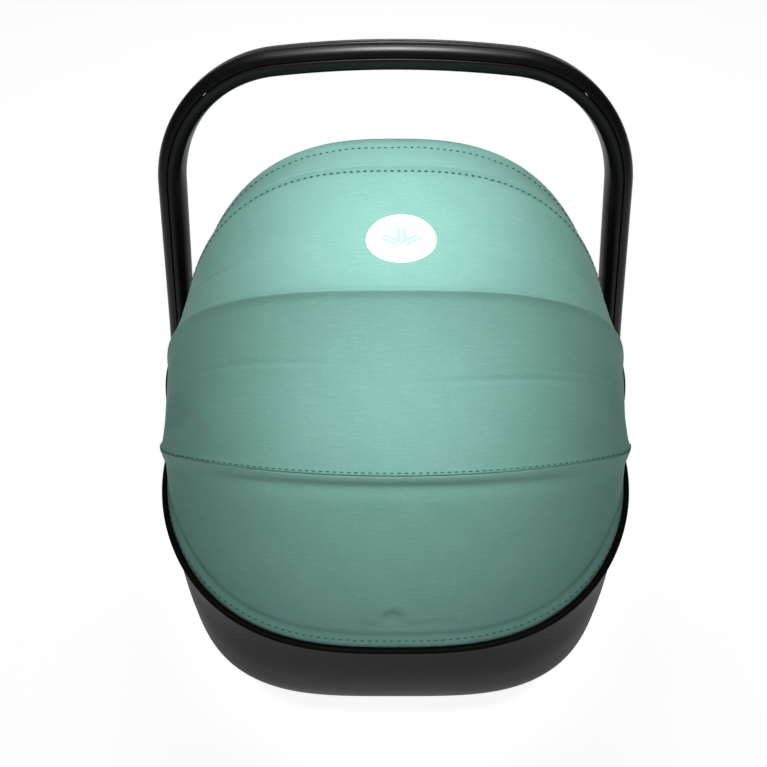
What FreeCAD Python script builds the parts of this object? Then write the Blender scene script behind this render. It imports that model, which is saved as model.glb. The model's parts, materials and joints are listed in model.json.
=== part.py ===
import FreeCAD, Part
import math
import os

V = FreeCAD.Vector

# Frame: the floor is z = 0, +Z is up, +Y is the foot end, the middle of the length is y = 0.

# Overall sizes
shell_length = 658.0
shell_width = 366.0
shell_depth = 327.0
base_lift = 18.0

# Shell and what lines it
shell_wall = 2.8
liner_thickness = 16.0
cover_thickness = 6.0
inlay_thickness = 18.0
layer_gap = 1.0
strap_thickness = 2.0
strap_gap = 2.0
pad_thickness = 9.0
conform_gap = 0.3

# Handle, measured from the hub axis; it passes the head end of the shell with head_clearance
head_clearance = 9.0
handle_lean = 15.0
handle_splay = 6.6
handle_crown_radius = 900.0
handle_corner_radius = 105.0
handle_section = 18.0
handle_depth = 34.0
handle_wall = 3.0
handle_edge_radius = 7.6
parting_gap = 0.3

# Handle hubs, stacked outwards from the shell wall
hub_height = 258.0
hub_back = 42.0
hub_stand_off = 16.6
bracket_radius = 34.0
bearing_radius = 26.0
bearing_clearance = 0.08
gear_radius = 20.0
gear_teeth = 24
gear_clearance = 0.3
bolt_radius = 5.0
bore_clearance = 0.05
hub_radius = 36.0
hub_thickness = 18.0
button_radius = 14.7
button_travel = 4.0

# Canopy, measured from its own pivot axis
pivot_back = 85.0
pivot_rise = 55.0
canopy_clearance = 3.2
hem_clearance = 4.1
fabric_thickness = 1.2
rod_radius = 2.0
rod_gap = 2.0
rod_stack_step = 4.4
rivet_radius = 3.0
eyelet_radius = 7.0
panel_root = 14.0
panel_split = 0.3

# Base
skid_spread = 118.0
skid_thickness = 20.0
foot_height = 8.0
bar_radius = 5.0

half_length = shell_length / 2
half_width = shell_width / 2
hub_y = -hub_back
hub_z = hub_height
pivot_y = hub_y - pivot_back
pivot_z = hub_z + pivot_rise
handle_reach = half_length - hub_back + handle_section / 2 + 1 + head_clearance
canopy_half_width = half_width - shell_wall - canopy_clearance
widest = pivot_y / half_length

# Slices of the shell from the bottom up, as shares of the depth, the half length and the half width:
# height, head reach, foot reach, middle, half width, how steep the wall stands there, squareness at the head.
slices = (
    (0.000, 0.220, 0.120, -0.050, 0.320, 0.12, 2.8),
    (0.080, 0.520, 0.415, -0.090, 0.570, 0.45, 3.0),
    (0.230, 0.760, 0.645, -0.180, 0.800, 0.68, 3.3),
    (0.413, 0.915, 0.815, -0.270, 0.930, 0.85, 3.5),
    (0.610, 0.985, 0.940, -0.350, 0.982, 0.96, 3.5),
    (0.734, 0.995, 0.980, widest, 0.995, 1.00, 3.1),
    (0.887, 0.988, 1.000, widest, 1.000, 1.00, 2.8),
    (1.020, 0.980, 1.010, widest, 0.998, 1.00, 2.8),
)
foot_squareness = 2.3
outline_points = 32

# The rim seen from the side: share of the half length, and height above the hub axis.
rim_line = (
    (-1.060, 50.0), (-0.985, 57.0), (-0.850, 71.0), (-0.720, 79.0), (-0.570, 78.0), (-0.386, 62.0),
    (-0.240, 48.0), (-0.100, 39.0), (0.100, 32.0), (0.400, 27.0), (1.060, 25.0),
)

# Bows and seams of the canopy: angle from the head end, reach, crown radius and corner radius.
hem_reach = 0.98 * half_length + pivot_y - shell_wall - hem_clearance
hem_line = (-6.0, hem_reach, 200.0, 120.0)
rear_line = (39.5, 149.0, 300.0, 45.0)
mid_line = (84.0, 169.5, 300.0, 75.0)
seam_line = (117.0, 211.0, 230.0, 110.0)
front_line = (129.0, 233.0, 220.0, 120.0)


def save(shape, name):
    shape.exportStep("parts/" + name + ".step")


def mirrored(shape):
    return shape.mirror(V(0, 0, 0), V(1, 0, 0))


def save_pair(shape, name):
    save(shape, name + "_right")
    save(mirrored(shape), name + "_left")


def x_cylinder(radius, x_from, x_to, y, z):
    return Part.makeCylinder(radius, x_to - x_from, V(x_from, y, z), V(1, 0, 0))


def block(x_from, x_to, y_from, y_to, z_from, z_to):
    return Part.makeBox(x_to - x_from, y_to - y_from, z_to - z_from, V(x_from, y_from, z_from))


def signed_power(value, power):
    return math.copysign(abs(value) ** power, value)


# ---- shell and the layers inside it ----

def slice_wire(row, inset):
    height, head, foot, middle, width, steep, head_squareness = row
    side = inset * steep
    z = base_lift + height * shell_depth + inset * math.sqrt(1 - steep * steep)
    y_middle = middle * half_length
    points = []
    for k in range(outline_points):
        turn = 2 * math.pi * k / outline_points
        power = 2 / (head_squareness if math.sin(turn) < 0 else foot_squareness)
        reach = head * half_length + y_middle if math.sin(turn) < 0 else foot * half_length - y_middle
        x = (width * half_width - side) * signed_power(math.cos(turn), power)
        y = y_middle + (reach - side) * signed_power(math.sin(turn), power)
        points.append(V(x, y, z))
    curve = Part.BSplineCurve()
    curve.interpolate(Points=points, PeriodicFlag=True)
    return Part.Wire([curve.toShape()])


bucket_store = {}


def bucket(inset):
    """The filled shape of the shell, moved inwards by inset."""
    if inset not in bucket_store:
        bucket_store[inset] = Part.makeLoft([slice_wire(row, inset) for row in slices], True, False)
    return bucket_store[inset]


def below_rim(head_drop, foot_drop):
    """Everything lower than the rim line, which is lowered by head_drop and foot_drop at its ends."""
    points = []
    for share, rise in rim_line:
        blend = min(max((share + 0.3) / 0.35, 0), 1)
        drop = head_drop + (foot_drop - head_drop) * blend
        points.append(V(0, share * half_length, hub_z + rise - drop))
    curve = Part.BSplineCurve()
    curve.interpolate(points)
    low_front = V(0, points[-1].y, -50)
    low_back = V(0, points[0].y, -50)
    edges = [
        curve.toShape(),
        Part.LineSegment(points[-1], low_front).toShape(),
        Part.LineSegment(low_front, low_back).toShape(),
        Part.LineSegment(low_back, points[0]).toShape(),
    ]
    face = Part.Face(Part.Wire(edges))
    face.translate(V(-shell_width, 0, 0))
    return face.extrude(V(2 * shell_width, 0, 0))


liner_out = shell_wall + layer_gap
liner_in = liner_out + liner_thickness
cover_out = liner_in + layer_gap
cover_in = cover_out + cover_thickness
inlay_out = cover_in + layer_gap
inlay_in = inlay_out + inlay_thickness
strap_out = inlay_in + strap_gap
strap_in = strap_out + strap_thickness
pad_out = strap_in + layer_gap
pad_in = pad_out + pad_thickness

shell_x = half_width * 0.991
bracket_x = shell_x + hub_stand_off
handle_x = bracket_x + 1.0
spigot_x = handle_x + 5.0
gear_pocket_x = bracket_x - 11.0


def outer_shell():
    shell = bucket(0).cut(bucket(shell_wall)).common(below_rim(0, 0))
    for side in (1, -1):
        bore = x_cylinder(bolt_radius + bore_clearance, shell_x - 15, shell_x + 15, hub_y, hub_z)
        shell = shell.cut(bore if side > 0 else mirrored(bore))
    return shell


def foam_liner():
    liner = bucket(liner_out).cut(bucket(liner_in)).common(below_rim(46, 12))
    recess = x_cylinder(bolt_radius + 8, shell_x - 40, shell_x + 5, hub_y, hub_z)
    return liner.cut(recess).cut(mirrored(recess))


def seat_cover():
    return bucket(cover_out).cut(bucket(cover_in)).common(below_rim(42, 8))


def lying_strip(outer, inner, centre, size, swing):
    """A strip that lies on the bowl between two insets, cut out by an upright box turned about Z."""
    half_x = size[0] / 2
    half_y = size[1] / 2
    column = block(-half_x, half_x, -half_y, half_y, 0, hub_z - 20)
    column.rotate(V(0, 0, 0), V(0, 0, 1), swing)
    column.translate(V(centre[0], centre[1], 0))
    return column.common(bucket(outer)).cut(bucket(inner))


def save_strips(outer, inner, centre, size, swing, name):
    for side, word in ((1, "_right"), (-1, "_left")):
        save(lying_strip(outer, inner, (side * centre[0], centre[1]), size, side * swing), name + word)


# ---- base ----

skid_back = -0.757 * half_length
skid_front = 0.46 * half_length
skid_arch_rise = 30.0
skid_top = 0.44 * shell_depth


def skid():
    side = [
        V(0, skid_back, foot_height), V(0, skid_back + 5, foot_height + 24), V(0, skid_back + 85, skid_top),
        V(0, skid_front - 60, skid_top), V(0, skid_front - 5, foot_height + 24), V(0, skid_front, foot_height),
    ]
    plate = Part.Face(Part.makePolygon(side + side[:1])).extrude(V(skid_thickness, 0, 0))
    plate.translate(V(skid_spread - skid_thickness / 2, 0, 0))
    half_chord = (skid_front - skid_back) / 2 - 30
    arch_radius = (half_chord ** 2 + skid_arch_rise ** 2) / (2 * skid_arch_rise)
    middle = (skid_back + skid_front) / 2
    arch = Part.makeCylinder(arch_radius, 3 * skid_thickness,
                             V(skid_spread - 30, middle, foot_height + skid_arch_rise - arch_radius), V(1, 0, 0))
    whole = plate.cut(arch).cut(bucket(-conform_gap))
    lower = sorted(whole.Solids, key=lambda solid: -solid.Volume)[0]
    for y in bar_places:
        lower = lower.cut(x_cylinder(bar_radius + bore_clearance, skid_spread - 30, skid_spread + 30, y, bar_z))
    return lower


bar_places = (skid_back + 32, skid_front - 32)
bar_z = foot_height + 15.0


def rubber_feet():
    feet = []
    for y in (skid_back + 14, skid_front - 14):
        for x in (-skid_spread, skid_spread):
            foot = block(x - 13, x + 13, y - 13, y + 13, 0, foot_height - 0.1)
            corners = [edge for edge in foot.Edges if abs(edge.Vertexes[0].Z - edge.Vertexes[1].Z) > 1]
            feet.append(foot.makeFillet(6, corners))
    return Part.makeCompound(feet)


def latch_bars():
    reach = skid_spread + skid_thickness / 2 - 2
    return Part.makeCompound([x_cylinder(bar_radius, -reach, reach, y, bar_z) for y in bar_places])


# ---- arches: legs, two corners and a crown, as straight runs and arcs ----

def arch_edges(place, base, reach, crown_radius, corner_radius, splay, root, backwards=False):
    """Edges from the left root over the crown to the right root; place turns (x, r) into a point."""
    c = math.cos(math.radians(splay))
    s = math.sin(math.radians(splay))
    a = base - corner_radius * c
    b = -corner_radius * s - (reach - crown_radius)
    m = b * c - a * s
    run = -m + math.sqrt(m * m - a * a - b * b + (crown_radius - corner_radius) ** 2)
    leg_top = (base - s * run, c * run)
    corner = (a - s * run, c * run - corner_radius * s)
    toward = (corner[0], corner[1] - (reach - crown_radius))
    size = math.hypot(*toward)
    toward = (toward[0] / size, toward[1] / size)
    shoulder = (crown_radius * toward[0], reach - crown_radius + crown_radius * toward[1])
    middle = (c + toward[0], s + toward[1])
    size = math.hypot(*middle)
    bend = (corner[0] + corner_radius * middle[0] / size, corner[1] + corner_radius * middle[1] / size)
    foot = (base - s * root / c, root)

    def right(pair):
        return place(pair[0], pair[1])

    def left(pair):
        return place(-pair[0], pair[1])

    edges = [
        Part.LineSegment(left(foot), left(leg_top)).toShape(),
        Part.Arc(left(leg_top), left(bend), left(shoulder)).toShape(),
        Part.Arc(left(shoulder), place(0, reach), right(shoulder)).toShape(),
        Part.Arc(right(shoulder), right(bend), right(leg_top)).toShape(),
        Part.LineSegment(right(leg_top), right(foot)).toShape(),
    ]
    if backwards:
        edges = [
            Part.LineSegment(right(foot), right(leg_top)).toShape(),
            Part.Arc(right(leg_top), right(bend), right(shoulder)).toShape(),
            Part.Arc(right(shoulder), place(0, reach), left(shoulder)).toShape(),
            Part.Arc(left(shoulder), left(bend), left(leg_top)).toShape(),
            Part.LineSegment(left(leg_top), left(foot)).toShape(),
        ]
    return edges, left(foot), right(foot)


# ---- handle ----

lean = math.radians(handle_lean)
handle_base = handle_x + handle_section / 2 + 1.5


def handle_place(x, r):
    return V(x, hub_y + r * math.sin(lean), hub_z + r * math.cos(lean))


def channel_section(side, root):
    """Half of the hollow handle section, at the left root; side is 1 for the outer half, -1 inside."""
    s = math.sin(math.radians(handle_splay))
    c = math.cos(math.radians(handle_splay))
    start = handle_place(-(handle_base - s * root / c), root)
    outward = V(-c, s * math.sin(lean), s * math.cos(lean))
    across = V(0, math.cos(lean), -math.sin(lean))

    def at(u, v):
        return start + outward * (side * u) + across * v

    crest = handle_section / 2
    half = handle_depth / 2
    round_u = crest - handle_edge_radius
    round_v = half - handle_edge_radius
    low = parting_gap / 2
    slant = math.sqrt(0.5)
    inner_radius = handle_edge_radius - handle_wall

    def corner(u, v, radius, sign):
        return at(u + radius * slant, v + sign * radius * slant)

    return Part.Wire([
        Part.LineSegment(at(low, -half), at(round_u, -half)).toShape(),
        Part.Arc(at(round_u, -half), corner(round_u, -round_v, handle_edge_radius, -1),
                 at(crest, -round_v)).toShape(),
        Part.LineSegment(at(crest, -round_v), at(crest, round_v)).toShape(),
        Part.Arc(at(crest, round_v), corner(round_u, round_v, handle_edge_radius, 1),
                 at(round_u, half)).toShape(),
        Part.LineSegment(at(round_u, half), at(low, half)).toShape(),
        Part.LineSegment(at(low, half), at(low, half - handle_wall)).toShape(),
        Part.LineSegment(at(low, half - handle_wall), at(round_u, half - handle_wall)).toShape(),
        Part.Arc(at(round_u, half - handle_wall), corner(round_u, round_v, inner_radius, 1),
                 at(crest - handle_wall, round_v)).toShape(),
        Part.LineSegment(at(crest - handle_wall, round_v), at(crest - handle_wall, -round_v)).toShape(),
        Part.Arc(at(crest - handle_wall, -round_v), corner(round_u, -round_v, inner_radius, -1),
                 at(round_u, handle_wall - half)).toShape(),
        Part.LineSegment(at(round_u, handle_wall - half), at(low, handle_wall - half)).toShape(),
        Part.LineSegment(at(low, handle_wall - half), at(low, -half)).toShape(),
    ])


def handle_half(side):
    root = hub_radius + 1.5
    edges, _, _ = arch_edges(handle_place, handle_base, handle_reach, handle_crown_radius,
                             handle_corner_radius, handle_splay, root)
    return Part.Wire(edges).makePipeShell([channel_section(side, root)], True, False)


def handle_hub():
    disc = x_cylinder(hub_radius, handle_x, handle_x + hub_thickness, hub_y, hub_z)
    neck_u = handle_section / 2 - handle_wall - 1.5
    neck_v = handle_depth / 2 - handle_wall - 2.0
    neck = block(-neck_u, neck_u, -neck_v, neck_v, 22, 80)
    neck.rotate(V(0, 0, 0), V(0, 1, 0), -handle_splay)
    neck.rotate(V(0, 0, 0), V(1, 0, 0), -handle_lean)
    neck.translate(V(handle_base, hub_y, hub_z))
    hub = disc.fuse(neck).removeSplitter()
    hub = hub.cut(x_cylinder(bearing_radius, handle_x - 20, spigot_x + 1.0, hub_y, hub_z))
    hub = hub.cut(x_cylinder(gear_radius + gear_clearance, handle_x, spigot_x + 6.0, hub_y, hub_z))
    return hub.cut(x_cylinder(button_radius + gear_clearance, handle_x, handle_x + 40, hub_y, hub_z))


def hub_cover():
    start = handle_x + hub_thickness + 0.1
    ring = x_cylinder(hub_radius - 0.5, start, start + 3, hub_y, hub_z)
    rounded = ring.makeFillet(1.4, [edge for edge in ring.Edges if edge.BoundBox.XMin > start + 2.9])
    return rounded.cut(x_cylinder(button_radius + gear_clearance, start - 5, start + 10, hub_y, hub_z))


def hub_bracket():
    boss = x_cylinder(bracket_radius, shell_x - 20, bracket_x, hub_y, hub_z)
    socket = block(shell_x - 20, bracket_x, hub_y - 22, hub_y + 22, hub_z - 84, hub_z - 20)
    spigot = x_cylinder(bearing_radius - bearing_clearance, bracket_x - 1, spigot_x, hub_y, hub_z)
    body = boss.fuse(socket).fuse(spigot).removeSplitter()
    body = body.cut(bucket(-conform_gap))
    body = sorted(body.Solids, key=lambda solid: -solid.Volume)[0]
    body = body.cut(x_cylinder(gear_radius + gear_clearance, gear_pocket_x, spigot_x + 5, hub_y, hub_z))
    slot = block(bracket_x - 10.5, bracket_x - 2.5, hub_y - 16, hub_y + 16, hub_z - 90, hub_z - 40)
    body = body.cut(slot)
    return body.cut(x_cylinder(bolt_radius + bore_clearance, shell_x - 30, bracket_x, hub_y, hub_z))


def pivot_bolt():
    head_x = shell_x - shell_wall - 3.2
    shank = x_cylinder(bolt_radius, head_x - 1, spigot_x - 4.5, hub_y, hub_z)
    head = x_cylinder(bolt_radius + 4, head_x - 5, head_x, hub_y, hub_z)
    return head.fuse(shank).removeSplitter()


gear_x = gear_pocket_x + button_travel + 2.0
gear_top = spigot_x + 5.0


def lock_gear():
    points = []
    for k in range(gear_teeth):
        for share, radius in ((0.05, gear_radius - 1.8), (0.3, gear_radius), (0.7, gear_radius),
                              (0.95, gear_radius - 1.8)):
            turn = 2 * math.pi * (k + share) / gear_teeth
            points.append(V(gear_x, hub_y + radius * math.cos(turn), hub_z + radius * math.sin(turn)))
    body = Part.Face(Part.makePolygon(points + points[:1])).extrude(V(gear_top - gear_x, 0, 0))
    return body.cut(x_cylinder(gear_radius - 3.8, gear_x - 1, gear_top - 4, hub_y, hub_z))


def button_spring():
    coil_radius = gear_radius - 6.5
    start = gear_pocket_x + 1.2
    length = gear_top - 4 - 1.2 - start
    helix = Part.makeHelix(length / 4, length, coil_radius)
    profile = Part.Wire(Part.makeCircle(0.75, V(coil_radius, 0, 0), V(0, 1, 0)))
    coil = Part.Wire(helix).makePipeShell([profile], True, True)
    coil.rotate(V(0, 0, 0), V(0, 1, 0), 90)
    coil.rotate(V(0, 0, 0), V(1, 0, 0), 37)
    coil.translate(V(start, hub_y, hub_z))
    return coil


def handle_button():
    face = handle_x + hub_thickness + 3.6
    cap = x_cylinder(button_radius, face - 6, face, hub_y, hub_z)
    cap = cap.makeFillet(1.6, [edge for edge in cap.Edges if edge.BoundBox.XMin > face - 0.1])
    stem = x_cylinder(8, gear_top + 0.2, face - 5, hub_y, hub_z)
    return cap.fuse(stem).removeSplitter()


# ---- canopy ----

def bow_place(angle):
    dy = -math.cos(math.radians(angle))
    dz = math.sin(math.radians(angle))

    def place(x, r):
        return V(x, pivot_y + r * dy, pivot_z + r * dz)
    return place


def panel_section(line, angle_shift):
    angle, reach, crown, corner = line
    place = bow_place(angle + angle_shift)
    outer, outer_left, outer_right = arch_edges(place, canopy_half_width, reach, crown, corner, 0, panel_root)
    thin = fabric_thickness
    inner, inner_left, inner_right = arch_edges(place, canopy_half_width - thin, reach - thin, crown - thin,
                                                corner - thin, 0, panel_root, True)
    right_end = Part.LineSegment(outer_right, inner_right).toShape()
    left_end = Part.LineSegment(inner_left, outer_left).toShape()
    return Part.Wire(outer + [right_end] + inner + [left_end])


def panel(lower, upper, lower_shift=panel_split, upper_shift=-panel_split):
    sections = [panel_section(lower, lower_shift), panel_section(upper, upper_shift)]
    return Part.makeLoft(sections, True, True)


def bow(line, order):
    """A round wire bow with a flat eyelet at each end; order says which lies outermost at the pivot."""
    angle, reach, crown, corner = line
    inset = fabric_thickness + rod_gap + rod_radius
    base = canopy_half_width - inset - order * rod_stack_step
    place = bow_place(angle)
    root = eyelet_radius - 2
    edges, left, _ = arch_edges(place, base, reach - inset, crown - inset, corner - inset, 0, root)
    along = place(0, 1) - place(0, 0)
    profile = Part.Wire(Part.makeCircle(rod_radius, left, along))
    rod = Part.Wire(edges).makePipeShell([profile], True, False)
    for side in (1, -1):
        eye = x_cylinder(eyelet_radius, side * base - 1.8, side * base + 1.8, pivot_y, pivot_z)
        rod = rod.fuse(eye)
    for side in (1, -1):
        rod = rod.cut(x_cylinder(rivet_radius + bore_clearance, side * base - 5, side * base + 5, pivot_y, pivot_z))
    return rod.removeSplitter()


def canopy_rivet():
    tip = canopy_half_width - 2 * rod_stack_step - 8
    shank = x_cylinder(rivet_radius, tip, canopy_half_width + 2.0, pivot_y, pivot_z)
    head = x_cylinder(rivet_radius + 2, tip - 2.5, tip, pivot_y, pivot_z)
    return head.fuse(shank).removeSplitter()


def canopy_bracket():
    plate_x = canopy_half_width - 1.3
    plate = x_cylinder(panel_root - 2, plate_x, plate_x + 20, pivot_y, pivot_z)
    plate = plate.common(bucket(shell_wall + conform_gap))
    return plate.cut(x_cylinder(rivet_radius + bore_clearance, plate_x - 5, plate_x + 30, pivot_y, pivot_z))


def hem_elastic():
    """Elastic band in the hem: follows the inside of the rim round the head end."""
    band = bucket(shell_wall + layer_gap).cut(bucket(shell_wall + layer_gap + 0.9))
    band = band.common(below_rim(3, 3)).cut(below_rim(9, 9))
    return band.common(block(-half_width, half_width, -shell_length, pivot_y - 135, 0, 2 * hub_z))


def badge_patch():
    """A flat oval patch just above the crown panel."""
    low = bow_place(mid_line[0])(0, mid_line[1])
    high = bow_place(seam_line[0])(0, seam_line[1])
    along = (high - low).normalize()
    normal = V(0, -along.z, along.y)
    centre = low + (high - low) * 0.45 + normal * 0.6
    ellipse = Part.Ellipse(V(0, 0, 0), 30, 25).toShape()
    patch = Part.Face(Part.Wire(ellipse)).extrude(V(0, 0, 0.8))
    tilt = math.degrees(math.atan2(-normal.y, normal.z))
    patch.rotate(V(0, 0, 0), V(1, 0, 0), tilt)
    patch.translate(centre)
    return patch


# ---- harness ----

buckle_y = 50.0
buckle_z = base_lift + pad_in + 6.0
buckle_size = (46.0, 62.0, 22.0)


def rounded_block(x_from, x_to, y_from, y_to, z_from, z_to, radius):
    body = block(x_from, x_to, y_from, y_to, z_from, z_to)
    upright = [edge for edge in body.Edges if abs(edge.Vertexes[0].Z - edge.Vertexes[1].Z) > 1]
    return body.makeFillet(radius, upright)


def buckle_body():
    w, l, t = buckle_size
    body = rounded_block(-w / 2, w / 2, buckle_y - l / 2, buckle_y + l / 2, buckle_z, buckle_z + t, 8)
    pocket = block(-w / 2 + 8, w / 2 - 8, buckle_y - 6, buckle_y + 22, buckle_z + 6, buckle_z + t + 1)
    slots = block(-w / 2 + 4, w / 2 - 4, buckle_y - l / 2 - 1, buckle_y - 12, buckle_z + 8, buckle_z + 14)
    return body.cut(pocket).cut(slots)


def buckle_button():
    w, _, t = buckle_size
    play = 0.4
    return rounded_block(-w / 2 + 8 + play, w / 2 - 8 - play, buckle_y - 6 + play, buckle_y + 22 - play,
                         buckle_z + 11, buckle_z + t + 1.5, 3)


def buckle_tongue():
    w, l, _ = buckle_size
    blade = block(1, w / 2 - 5, buckle_y - l / 2 - 22, buckle_y - 16, buckle_z + 9, buckle_z + 12)
    slot = block(4, w / 2 - 8, buckle_y - l / 2 - 17, buckle_y - l / 2 - 12, buckle_z, buckle_z + 20)
    return blade.cut(slot)


adjuster_y = 0.62 * half_length
adjuster_tilt = 41.0


def adjuster_place(shape):
    shape.rotate(V(0, 0, 0), V(1, 0, 0), adjuster_tilt)
    shape.translate(V(0, adjuster_y, adjuster_z))
    return shape


adjuster_z = base_lift + 0.2 * shell_depth + cover_in + 26.0


def adjuster_housing():
    body = rounded_block(-24, 24, -20, 20, 0, 12, 6)
    body = body.cut(block(-12, 12, -10, 10, 4, 20))
    return adjuster_place(body)


def adjuster_button():
    return adjuster_place(rounded_block(-11.6, 11.6, -9.6, 9.6, 8, 13.5, 3))


# ---- headrest ----

rest_tilt = 50.0
rest_point = V(0, -0.623 * half_length, 165.0)


def rest_place(shape):
    """Turns a part drawn flat, with y up the back and z into the back, into the seat."""
    shape.rotate(V(0, 0, 0), V(1, 0, 0), 180 - rest_tilt)
    shape.translate(rest_point)
    return shape


def rest_outline(width, low, high, thickness_from, thickness_to):
    """A plate with a half-round top: width is its half width."""
    top = high - width
    straight = block(-width, width, low, top, thickness_from, thickness_to)
    cap = Part.makeCylinder(width, thickness_to - thickness_from, V(0, top, thickness_from))
    return straight.fuse(cap).removeSplitter()


def headrest_board():
    return rest_place(rest_outline(66, -60, 78, 1, 5))


def headrest_pad():
    pad = rest_outline(92, -57, 86, -44, 0)
    hollow = rest_outline(58, -70, 52, -60, -20)
    return rest_place(pad.cut(hollow))


# ---- small parts ----

def belt_guide():
    y = 60.0
    x_out = half_width * 0.975 + 10
    body = block(half_width * 0.8, x_out, y - 26, y + 26, hub_z - 6, hub_z + 26)
    body = body.cut(bucket(-conform_gap))
    body = sorted(body.Solids, key=lambda solid: -solid.Volume)[0]
    slot = bucket(-9).cut(bucket(-conform_gap)).common(block(0, x_out - 3, y - 40, y + 40, hub_z, hub_z + 40))
    return body.cut(slot)


lever_y = -0.75 * half_length
lever_z = 0.23 * shell_depth + base_lift


def release_lever():
    body = block(-38, 38, lever_y - 26, lever_y + 26, lever_z - 34, lever_z + 12)
    body = body.cut(bucket(-2.0)).common(bucket(-11.0))
    body = sorted(body.Solids, key=lambda solid: -solid.Volume)[0]
    return body.cut(x_cylinder(2 + bore_clearance, -50, 50, lever_pin_y, lever_pin_z))


lever_pin_y = lever_y - 19.0
lever_pin_z = lever_z + 8.8


def lever_pin():
    return x_cylinder(2, -44, 44, lever_pin_y, lever_pin_z)


def shell_screws():
    screws = []
    for y in (skid_back + 150, skid_front - 150):
        for x in (-skid_spread, skid_spread):
            screws.append(Part.makeCylinder(3.5, 3, V(x, y, foot_height + skid_arch_rise - 6)))
    return Part.makeCompound(screws)


def strap_yoke():
    y = -0.1 * half_length
    plate = block(-26, 26, y - 11, y + 11, base_lift - 7, base_lift - 5)
    for x in (-14, 14):
        plate = plate.cut(block(x - 10, x + 10, y - 3, y + 3, 0, base_lift))
    return plate


def build():
    os.makedirs("parts", exist_ok=True)
    save(outer_shell(), "outer_shell")
    save(foam_liner(), "foam_liner")
    save(seat_cover(), "seat_cover")
    save(lying_strip(inlay_out, inlay_in, (0, -14), (230, 288), 0), "inlay_cushion")
    save_pair(skid(), "base_skid")
    save(rubber_feet(), "rubber_feet")
    save(latch_bars(), "latch_bars")
    save_pair(hub_bracket(), "hub_bracket")
    save_pair(pivot_bolt(), "pivot_bolt")
    save_pair(lock_gear(), "lock_gear")
    save_pair(button_spring(), "button_spring")
    save_pair(handle_hub(), "handle_hub")
    save_pair(hub_cover(), "hub_cover")
    save_pair(handle_button(), "handle_button")
    save(handle_half(1), "handle_outer_half")
    save(handle_half(-1), "handle_inner_half")
    save(bow(rear_line, 0), "rear_bow")
    save(bow(mid_line, 1), "middle_bow")
    save(bow(front_line, 2), "front_bow")
    save(panel(hem_line, rear_line), "canopy_rear_panel")
    save(panel(rear_line, mid_line), "canopy_upper_panel")
    save(panel(mid_line, seam_line), "canopy_crown_panel")
    save(panel(seam_line, front_line, panel_split, panel_split), "canopy_brim")
    save(badge_patch(), "badge_patch")
    save(hem_elastic(), "hem_elastic")
    save_pair(canopy_rivet(), "canopy_rivet")
    save_pair(canopy_bracket(), "canopy_bracket")
    save_strips(strap_out, strap_in, (44, -70), (38, 160), 8, "shoulder_strap")
    save_strips(pad_out, pad_in, (44, -72), (52, 110), 8, "shoulder_pad")
    save_strips(strap_out, strap_in, (66, 40), (72, 30), 0, "hip_strap")
    save(lying_strip(strap_out, strap_in, (0, 88), (30, 78), 0), "crotch_strap")
    save(lying_strip(pad_out, pad_in, (0, 110), (44, 48), 0), "crotch_pad")
    save(buckle_body(), "buckle_body")
    save(buckle_button(), "buckle_button")
    save_pair(buckle_tongue(), "buckle_tongue")
    save(lying_strip(inlay_out, inlay_out + strap_thickness, (0, 158), (24, 44), 0), "adjuster_strap")
    save(adjuster_housing(), "adjuster_housing")
    save(adjuster_button(), "adjuster_button")
    save(headrest_board(), "headrest_board")
    save(headrest_pad(), "headrest_pad")
    save_pair(belt_guide(), "belt_guide")
    save(release_lever(), "release_lever")
    save(lever_pin(), "lever_pin")
    save(shell_screws(), "base_screws")
    save(strap_yoke(), "strap_yoke")


build()
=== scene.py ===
import json
import math
import bmesh
import bpy
import numpy as np
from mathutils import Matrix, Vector


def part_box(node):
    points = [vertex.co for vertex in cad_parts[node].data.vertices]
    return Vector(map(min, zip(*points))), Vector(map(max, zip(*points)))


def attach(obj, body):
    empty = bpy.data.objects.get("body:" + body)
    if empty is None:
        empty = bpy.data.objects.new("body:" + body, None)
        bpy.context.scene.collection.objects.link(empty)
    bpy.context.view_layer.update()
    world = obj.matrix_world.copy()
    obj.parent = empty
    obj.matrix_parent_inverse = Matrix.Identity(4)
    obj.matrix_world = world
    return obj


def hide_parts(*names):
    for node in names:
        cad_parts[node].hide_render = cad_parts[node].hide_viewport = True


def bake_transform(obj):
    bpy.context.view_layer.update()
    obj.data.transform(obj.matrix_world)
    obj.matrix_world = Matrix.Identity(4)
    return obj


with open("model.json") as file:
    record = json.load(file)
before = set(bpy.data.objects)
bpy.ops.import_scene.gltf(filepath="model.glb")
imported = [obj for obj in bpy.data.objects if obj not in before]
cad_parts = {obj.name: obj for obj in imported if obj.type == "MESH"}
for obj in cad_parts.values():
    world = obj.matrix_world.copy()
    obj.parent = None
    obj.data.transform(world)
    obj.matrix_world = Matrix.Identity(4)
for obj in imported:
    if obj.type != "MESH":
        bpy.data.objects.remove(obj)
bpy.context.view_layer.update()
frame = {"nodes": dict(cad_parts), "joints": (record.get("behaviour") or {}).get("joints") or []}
joints = {joint["name"]: joint for joint in frame["joints"]}
hub = np.array(joints["handle_swing"]["pos_m"], float)
pivot = np.array(joints["canopy_rear_fold"]["pos_m"], float)


# shader maths

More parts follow.
